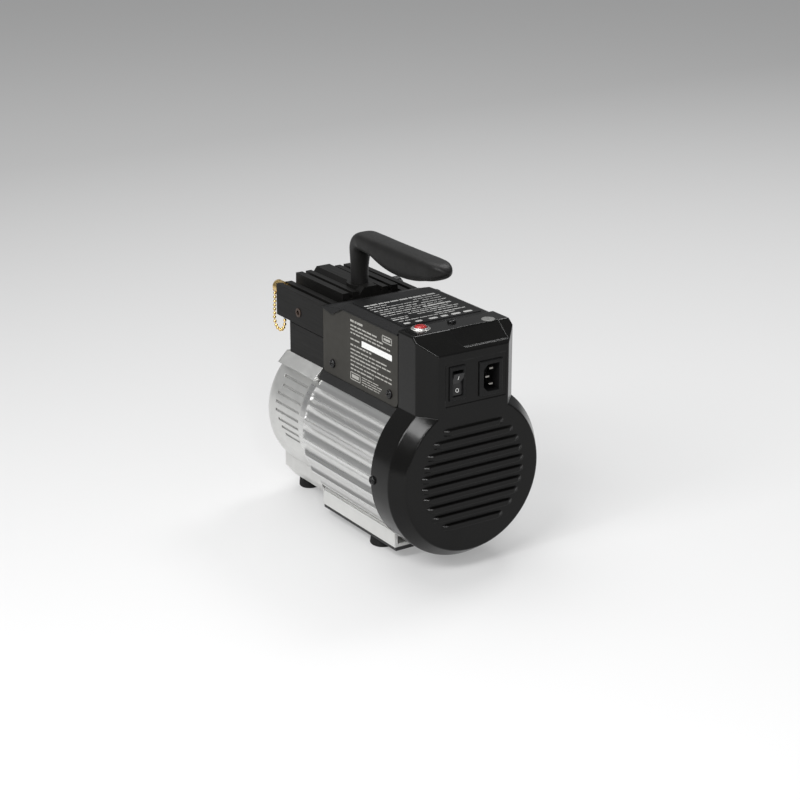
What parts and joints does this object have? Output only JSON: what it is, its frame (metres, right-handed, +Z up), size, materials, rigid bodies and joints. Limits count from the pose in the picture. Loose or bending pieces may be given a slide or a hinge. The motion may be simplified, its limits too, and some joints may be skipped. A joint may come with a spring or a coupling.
{
  "type": "rotary vane vacuum pump",
  "caption": "Portable two-stage rotary vane vacuum pump: ribbed motor, louvred fan cover with switch and inlet, finned intake block, oil casing with sight glass, and a rubber carrying handle.",
  "frame": {"origin": "on the floor below the centre of the whole pump's box", "axes": "+X across the pump, +Y from the fan cover to the pump head, +Z up"},
  "size_m": [0.1608, 0.2708, 0.2657],
  "materials": {
    "cast_aluminium": "die cast, satin",
    "black_shroud": "satin moulded",
    "black_lid": "fine grain moulded",
    "panel_bronze": "satin dark bronze grey",
    "black_anodised": "black anodised",
    "dark_steel": "dark painted",
    "tray_steel": "dark painted",
    "foot_rubber": "matte",
    "grip_rubber": "matte, finely textured",
    "seal_rubber": "matte",
    "black_screw": "black oxide, glossy",
    "screw_steel": "zinc plated",
    "switch_black": "fine grain moulded",
    "rocker_black": "gloss",
    "pin_nickel": "nickel plated",
    "breaker_black": "moulded",
    "ring_chrome": "polished",
    "button_red": "gloss",
    "brass": "turned",
    "plug_brown": "aged",
    "knob_black": "fluted, moulded",
    "gauge_glass": "clear",
    "ring_nickel": "nickel plated",
    "core_steel": "ground",
    "copper_wire": "enamelled copper",
    "can_aluminium": "drawn can",
    "vane_carbon": "ground composite"
  },
  "bodies": {
    "pump": {"motor_housing": "cast_aluminium", "base_rails": "cast_aluminium", "base_plate": "dark_steel", "rubber_feet": "foot_rubber", "rear_shroud": "black_shroud", "cover_screws": "black_screw", "electrical_box": "tray_steel", "side_panels": "panel_bronze", "box_gasket": "seal_rubber", "top_cover": "black_lid", "switch_body": "switch_black", "inlet_body": "switch_black", "inlet_pins": "pin_nickel", "breaker_body": "breaker_black", "breaker_nut": "ring_chrome", "intake_block": "black_anodised", "valve_block": "black_anodised", "side_plug": "plug_brown", "handle_core": "screw_steel", "handle_grip": "grip_rubber", "flare_fitting": "brass", "bead_chain": "brass", "chain_eye": "screw_steel", "ballast_valve": "brass", "fill_neck": "brass", "sight_glass": "gauge_glass", "sight_ring": "ring_nickel", "drain_body": "brass", "oil_casing": "cast_aluminium", "casing_gasket": "seal_rubber", "casing_screws": "screw_steel", "stator_core": "core_steel", "windings": "copper_wire", "bearings": "core_steel", "rear_end_bell": "cast_aluminium", "front_end_bell": "cast_aluminium", "run_capacitor": "can_aluminium", "terminal_block": "switch_black", "pump_adapter": "cast_aluminium", "shaft_seal": "seal_rubber", "stage_cylinders": "core_steel", "pump_plates": "core_steel", "tie_bolts": "screw_steel"},
    "rotor": {"motor_shaft": "core_steel", "rotor_cage": "core_steel", "cooling_fan": "black_shroud", "coupling": "core_steel", "coupling_spider": "seal_rubber", "pump_rotor": "core_steel", "vane_springs": "core_steel"},
    "vane_one_left": {"vane_one_left": "vane_carbon"},
    "vane_one_right": {"vane_one_right": "vane_carbon"},
    "vane_two_left": {"vane_two_left": "vane_carbon"},
    "vane_two_right": {"vane_two_right": "vane_carbon"},
    "rocker": {"rocker": "rocker_black"},
    "reset_button": {"reset_button": "button_red"},
    "flare_cap": {"flare_cap": "brass"},
    "fill_cap": {"fill_cap": "knob_black"},
    "ballast_knob": {"ballast_knob": "knob_black"},
    "drain_knob": {"drain_knob": "knob_black"}
  },
  "joints": [
    {"name": "rotor_spin", "type": "hinge", "parent": "pump", "child": "rotor", "pos_m": [0, 0, 0.087], "axis": [0, 1, 0], "continuous": true},
    {"name": "vane_one_left_slide", "type": "slide", "parent": "rotor", "child": "vane_one_left", "axis": [-1, 0, 0], "range_m": [0, 0.0024]},
    {"name": "vane_one_right_slide", "type": "slide", "parent": "rotor", "child": "vane_one_right", "axis": [1, 0, 0], "range_m": [0, 0.0024]},
    {"name": "vane_two_left_slide", "type": "slide", "parent": "rotor", "child": "vane_two_left", "axis": [-1, 0, 0], "range_m": [0, 0.0024]},
    {"name": "vane_two_right_slide", "type": "slide", "parent": "rotor", "child": "vane_two_right", "axis": [1, 0, 0], "range_m": [0, 0.0024]},
    {"name": "rocker_tilt", "type": "hinge", "parent": "pump", "child": "rocker", "pos_m": [-0.0172, -0.12848, 0.1745], "axis": [-1, 0, 0], "range_deg": [0, 20]},
    {"name": "reset_press", "type": "slide", "parent": "pump", "child": "reset_button", "axis": [0, 0, -1], "range_m": [0, 0.0025], "stiffness_N_per_m": 200, "springref_m": -0.002},
    {"name": "flare_cap_off", "type": "slide", "parent": "pump", "child": "flare_cap", "axis": [0, 1, 0], "range_m": [0, 0.012]},
    {"name": "fill_cap_off", "type": "slide", "parent": "pump", "child": "fill_cap", "axis": [0, 1, 0], "range_m": [0, 0.01]},
    {"name": "ballast_turn", "type": "hinge", "parent": "pump", "child": "ballast_knob", "pos_m": [0.0505, 0.08212, 0.1915], "axis": [1, 0, 0], "range_deg": [0, 360]},
    {"name": "drain_turn", "type": "hinge", "parent": "pump", "child": "drain_knob", "pos_m": [0, 0.12012, 0.049], "axis": [0, 1, 0], "range_deg": [0, 360]}
  ]
}
